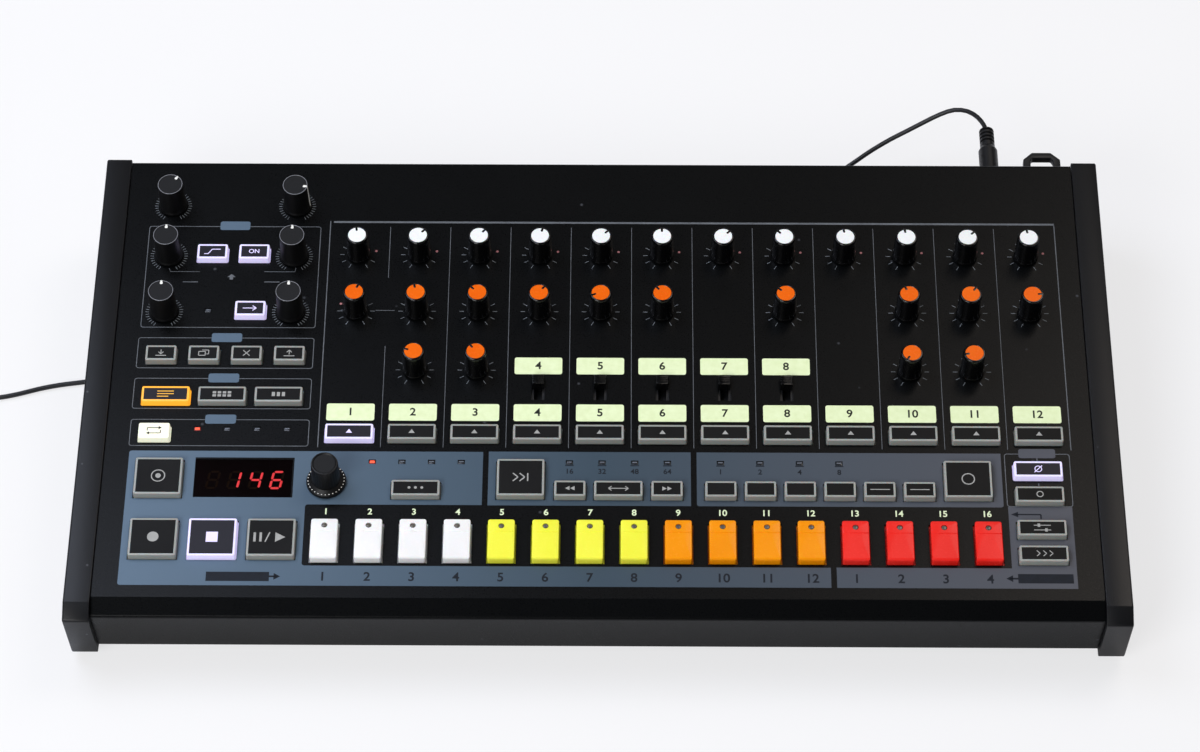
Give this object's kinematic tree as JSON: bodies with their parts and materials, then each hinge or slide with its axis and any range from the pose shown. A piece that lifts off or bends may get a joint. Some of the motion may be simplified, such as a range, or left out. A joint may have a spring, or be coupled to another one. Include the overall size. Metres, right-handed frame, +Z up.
{
  "type": "drum machine",
  "caption": "Desktop drum machine with rows of small knobs on a sloping black panel, a strip of coloured step keys, buttons, slide switches and rear sockets.",
  "frame": {"origin": "centre of the case's footprint, cord hook included, on the table plane under the feet", "axes": "+X to the player's right, +Y to the rear, +Z up"},
  "size_m": [0.6584, 0.324, 0.079],
  "materials": {
    "case_black": "fine satin paint",
    "pan_black": "satin paint",
    "cheek_black": "satin moulded",
    "foot_rubber": "matte",
    "screw_black": "blackened",
    "board_green": "solder mask",
    "pot_metal": "plated",
    "socket_black": "moulded",
    "smoked_lens": "polished",
    "light_red": "clear red",
    "knob_black": "satin, with printed or coloured inlays",
    "key_plastic": "satin, in white, yellow, orange and red",
    "button_grey": "milky cap with a dark satin plate",
    "cap_black": "satin",
    "cord_black": "satin",
    "adapter_black": "satin, with plated blades"
  },
  "bodies": {
    "case": {"top_panel": "case_black", "base_pan": "pan_black", "rear_panel": "case_black", "left_cheek": "cheek_black", "right_cheek": "cheek_black", "rubber_feet": "foot_rubber", "case_screws": "screw_black", "main_board": "board_green", "panel_board": "board_green", "pot_bodies": "pot_metal", "switch_bodies": "socket_black", "display_window": "smoked_lens", "display_module": "socket_black", "indicator_lights": "light_red", "phone_jacks": "socket_black", "rear_sockets": "socket_black", "cord_hook": "socket_black", "dc_plug": "cord_black", "power_cord": "cord_black", "cord_coil": "cord_black", "wall_adapter": "adapter_black"},
    "level_knob_1": {"level_knob_1": "knob_black"},
    "level_knob_2": {"level_knob_2": "knob_black"},
    "level_knob_3": {"level_knob_3": "knob_black"},
    "level_knob_4": {"level_knob_4": "knob_black"},
    "level_knob_5": {"level_knob_5": "knob_black"},
    "level_knob_6": {"level_knob_6": "knob_black"},
    "level_knob_7": {"level_knob_7": "knob_black"},
    "level_knob_8": {"level_knob_8": "knob_black"},
    "level_knob_9": {"level_knob_9": "knob_black"},
    "level_knob_10": {"level_knob_10": "knob_black"},
    "level_knob_11": {"level_knob_11": "knob_black"},
    "level_knob_12": {"level_knob_12": "knob_black"},
    "tune_knob_1": {"tune_knob_1": "knob_black"},
    "tune_knob_2": {"tune_knob_2": "knob_black"},
    "tune_knob_3": {"tune_knob_3": "knob_black"},
    "tune_knob_4": {"tune_knob_4": "knob_black"},
    "tune_knob_5": {"tune_knob_5": "knob_black"},
    "tune_knob_6": {"tune_knob_6": "knob_black"},
    "tune_knob_8": {"tune_knob_8": "knob_black"},
    "tune_knob_10": {"tune_knob_10": "knob_black"},
    "tune_knob_11": {"tune_knob_11": "knob_black"},
    "tune_knob_12": {"tune_knob_12": "knob_black"},
    "tone_knob_2": {"tone_knob_2": "knob_black"},
    "tone_knob_3": {"tone_knob_3": "knob_black"},
    "tone_knob_10": {"tone_knob_10": "knob_black"},
    "tone_knob_11": {"tone_knob_11": "knob_black"},
    "fx_knob_1": {"fx_knob_1": "knob_black"},
    "fx_knob_2": {"fx_knob_2": "knob_black"},
    "fx_knob_3": {"fx_knob_3": "knob_black"},
    "fx_knob_4": {"fx_knob_4": "knob_black"},
    "fx_knob_5": {"fx_knob_5": "knob_black"},
    "fx_knob_6": {"fx_knob_6": "knob_black"},
    "data_dial": {"data_dial": "knob_black"},
    "step_keys": {"step_keys": "key_plastic"},
    "select_buttons": {"select_buttons": "button_grey"},
    "square_buttons": {"square_buttons": "button_grey"},
    "strip_buttons": {"strip_buttons": "button_grey"},
    "slide_caps": {"slide_caps": "cap_black"},
    "power_rocker": {"power_rocker": "cap_black"}
  },
  "joints": [
    {"name": "data_dial_turn", "type": "hinge", "parent": "case", "child": "data_dial", "pos_m": [-0.1288, -0.06727, 0.04842], "axis": [0, 0.0735, -0.9973], "continuous": true},
    {"name": "step_keys_press", "type": "slide", "parent": "case", "child": "step_keys", "axis": [0, 0.0735, -0.9973], "range_m": [0, 0.0018], "stiffness_N_per_m": 1500, "springref_m": -0.001},
    {"name": "select_buttons_press", "type": "slide", "parent": "case", "child": "select_buttons", "axis": [0, 0.0735, -0.9973], "range_m": [0, 0.0012], "stiffness_N_per_m": 1500, "springref_m": -0.001},
    {"name": "square_buttons_press", "type": "slide", "parent": "case", "child": "square_buttons", "axis": [0, 0.0735, -0.9973], "range_m": [0, 0.0012], "stiffness_N_per_m": 1500, "springref_m": -0.001},
    {"name": "strip_buttons_press", "type": "slide", "parent": "case", "child": "strip_buttons", "axis": [0, 0.0735, -0.9973], "range_m": [0, 0.0012], "stiffness_N_per_m": 1500, "springref_m": -0.001},
    {"name": "slide_caps_move", "type": "slide", "parent": "case", "child": "slide_caps", "axis": [0, -0.9973, -0.0735], "range_m": [0, 0.0068]},
    {"name": "power_rocker_tilt", "type": "hinge", "parent": "case", "child": "power_rocker", "pos_m": [0.1785, 0.1218, 0.038], "axis": [0, 0, 1], "range_deg": [-16, 0]},
    {"name": "level_knob_1_turn", "type": "hinge", "parent": "case", "child": "level_knob_1", "pos_m": [-0.1192, 0.06597, 0.05824], "axis": [0, 0.0735, -0.9973], "range_deg": [-144, 156]},
    {"name": "level_knob_2_turn", "type": "hinge", "parent": "case", "child": "level_knob_2", "pos_m": [-0.0893, 0.06597, 0.05824], "axis": [0, 0.0735, -0.9973], "range_deg": [-194, 106]},
    {"name": "level_knob_3_turn", "type": "hinge", "parent": "case", "child": "level_knob_3", "pos_m": [-0.0594, 0.06597, 0.05824], "axis": [0, 0.0735, -0.9973], "range_deg": [-190, 110]},
    {"name": "level_knob_4_turn", "type": "hinge", "parent": "case", "child": "level_knob_4", "pos_m": [-0.0295, 0.06597, 0.05824], "axis": [0, 0.0735, -0.9973], "range_deg": [-166, 134]},
    {"name": "level_knob_5_turn", "type": "hinge", "parent": "case", "child": "level_knob_5", "pos_m": [0.0004, 0.06597, 0.05824], "axis": [0, 0.0735, -0.9973], "range_deg": [-199, 101]},
    {"name": "level_knob_6_turn", "type": "hinge", "parent": "case", "child": "level_knob_6", "pos_m": [0.0303, 0.06597, 0.05824], "axis": [0, 0.0735, -0.9973], "range_deg": [-148, 152]},
    {"name": "level_knob_7_turn", "type": "hinge", "parent": "case", "child": "level_knob_7", "pos_m": [0.0602, 0.06597, 0.05824], "axis": [0, 0.0735, -0.9973], "range_deg": [-197, 103]},
    {"name": "level_knob_8_turn", "type": "hinge", "parent": "case", "child": "level_knob_8", "pos_m": [0.0901, 0.06597, 0.05824], "axis": [0, 0.0735, -0.9973], "range_deg": [-106, 194]},
    {"name": "level_knob_9_turn", "type": "hinge", "parent": "case", "child": "level_knob_9", "pos_m": [0.12, 0.06597, 0.05824], "axis": [0, 0.0735, -0.9973], "range_deg": [-140, 160]},
    {"name": "level_knob_10_turn", "type": "hinge", "parent": "case", "child": "level_knob_10", "pos_m": [0.1499, 0.06597, 0.05824], "axis": [0, 0.0735, -0.9973], "range_deg": [-140, 160]},
    {"name": "level_knob_11_turn", "type": "hinge", "parent": "case", "child": "level_knob_11", "pos_m": [0.1798, 0.06597, 0.05824], "axis": [0, 0.0735, -0.9973], "range_deg": [-197, 103]},
    {"name": "level_knob_12_turn", "type": "hinge", "parent": "case", "child": "level_knob_12", "pos_m": [0.2097, 0.06597, 0.05824], "axis": [0, 0.0735, -0.9973], "range_deg": [-139, 161]},
    {"name": "tune_knob_1_turn", "type": "hinge", "parent": "case", "child": "tune_knob_1", "pos_m": [-0.1192, 0.03196, 0.05573], "axis": [0, 0.0735, -0.9973], "range_deg": [-176, 124]},
    {"name": "tune_knob_2_turn", "type": "hinge", "parent": "case", "child": "tune_knob_2", "pos_m": [-0.0893, 0.03196, 0.05573], "axis": [0, 0.0735, -0.9973], "range_deg": [-139, 161]},
    {"name": "tune_knob_3_turn", "type": "hinge", "parent": "case", "child": "tune_knob_3", "pos_m": [-0.0594, 0.03196, 0.05573], "axis": [0, 0.0735, -0.9973], "range_deg": [-104, 196]},
    {"name": "tune_knob_4_turn", "type": "hinge", "parent": "case", "child": "tune_knob_4", "pos_m": [-0.0295, 0.03196, 0.05573], "axis": [0, 0.0735, -0.9973], "range_deg": [-188, 112]},
    {"name": "tune_knob_5_turn", "type": "hinge", "parent": "case", "child": "tune_knob_5", "pos_m": [0.0004, 0.03196, 0.05573], "axis": [0, 0.0735, -0.9973], "range_deg": [-40, 260]},
    {"name": "tune_knob_6_turn", "type": "hinge", "parent": "case", "child": "tune_knob_6", "pos_m": [0.0303, 0.03196, 0.05573], "axis": [0, 0.0735, -0.9973], "range_deg": [-110, 190]},
    {"name": "tune_knob_8_turn", "type": "hinge", "parent": "case", "child": "tune_knob_8", "pos_m": [0.0901, 0.03196, 0.05573], "axis": [0, 0.0735, -0.9973], "range_deg": [-99, 201]},
    {"name": "tune_knob_10_turn", "type": "hinge", "parent": "case", "child": "tune_knob_10", "pos_m": [0.1499, 0.03196, 0.05573], "axis": [0, 0.0735, -0.9973], "range_deg": [-124, 176]},
    {"name": "tune_knob_11_turn", "type": "hinge", "parent": "case", "child": "tune_knob_11", "pos_m": [0.1798, 0.03196, 0.05573], "axis": [0, 0.0735, -0.9973], "range_deg": [-185, 115]},
    {"name": "tune_knob_12_turn", "type": "hinge", "parent": "case", "child": "tune_knob_12", "pos_m": [0.2097, 0.03196, 0.05573], "axis": [0, 0.0735, -0.9973], "range_deg": [-240, 60]},
    {"name": "tone_knob_2_turn", "type": "hinge", "parent": "case", "child": "tone_knob_2", "pos_m": [-0.0893, -0.00265, 0.05318], "axis": [0, 0.0735, -0.9973], "range_deg": [-75, 225]},
    {"name": "tone_knob_3_turn", "type": "hinge", "parent": "case", "child": "tone_knob_3", "pos_m": [-0.0594, -0.00265, 0.05318], "axis": [0, 0.0735, -0.9973], "range_deg": [-113, 187]},
    {"name": "tone_knob_10_turn", "type": "hinge", "parent": "case", "child": "tone_knob_10", "pos_m": [0.1499, -0.00265, 0.05318], "axis": [0, 0.0735, -0.9973], "range_deg": [0, 300]},
    {"name": "tone_knob_11_turn", "type": "hinge", "parent": "case", "child": "tone_knob_11", "pos_m": [0.1798, -0.00265, 0.05318], "axis": [0, 0.0735, -0.9973], "range_deg": [-50, 250]},
    {"name": "fx_knob_1_turn", "type": "hinge", "parent": "case", "child": "fx_knob_1", "pos_m": [-0.2128, 0.09529, 0.0604], "axis": [0, 0.0735, -0.9973], "range_deg": [-186, 114]},
    {"name": "fx_knob_2_turn", "type": "hinge", "parent": "case", "child": "fx_knob_2", "pos_m": [-0.151, 0.09529, 0.0604], "axis": [0, 0.0735, -0.9973], "range_deg": [-250, 50]},
    {"name": "fx_knob_3_turn", "type": "hinge", "parent": "case", "child": "fx_knob_3", "pos_m": [-0.2128, 0.06457, 0.05814], "axis": [0, 0.0735, -0.9973], "range_deg": [-150, 150]},
    {"name": "fx_knob_4_turn", "type": "hinge", "parent": "case", "child": "fx_knob_4", "pos_m": [-0.151, 0.06457, 0.05814], "axis": [0, 0.0735, -0.9973], "range_deg": [-150, 150]},
    {"name": "fx_knob_5_turn", "type": "hinge", "parent": "case", "child": "fx_knob_5", "pos_m": [-0.2128, 0.03096, 0.05566], "axis": [0, 0.0735, -0.9973], "range_deg": [-150, 150]},
    {"name": "fx_knob_6_turn", "type": "hinge", "parent": "case", "child": "fx_knob_6", "pos_m": [-0.151, 0.03096, 0.05566], "axis": [0, 0.0735, -0.9973], "range_deg": [-150, 150]}
  ]
}
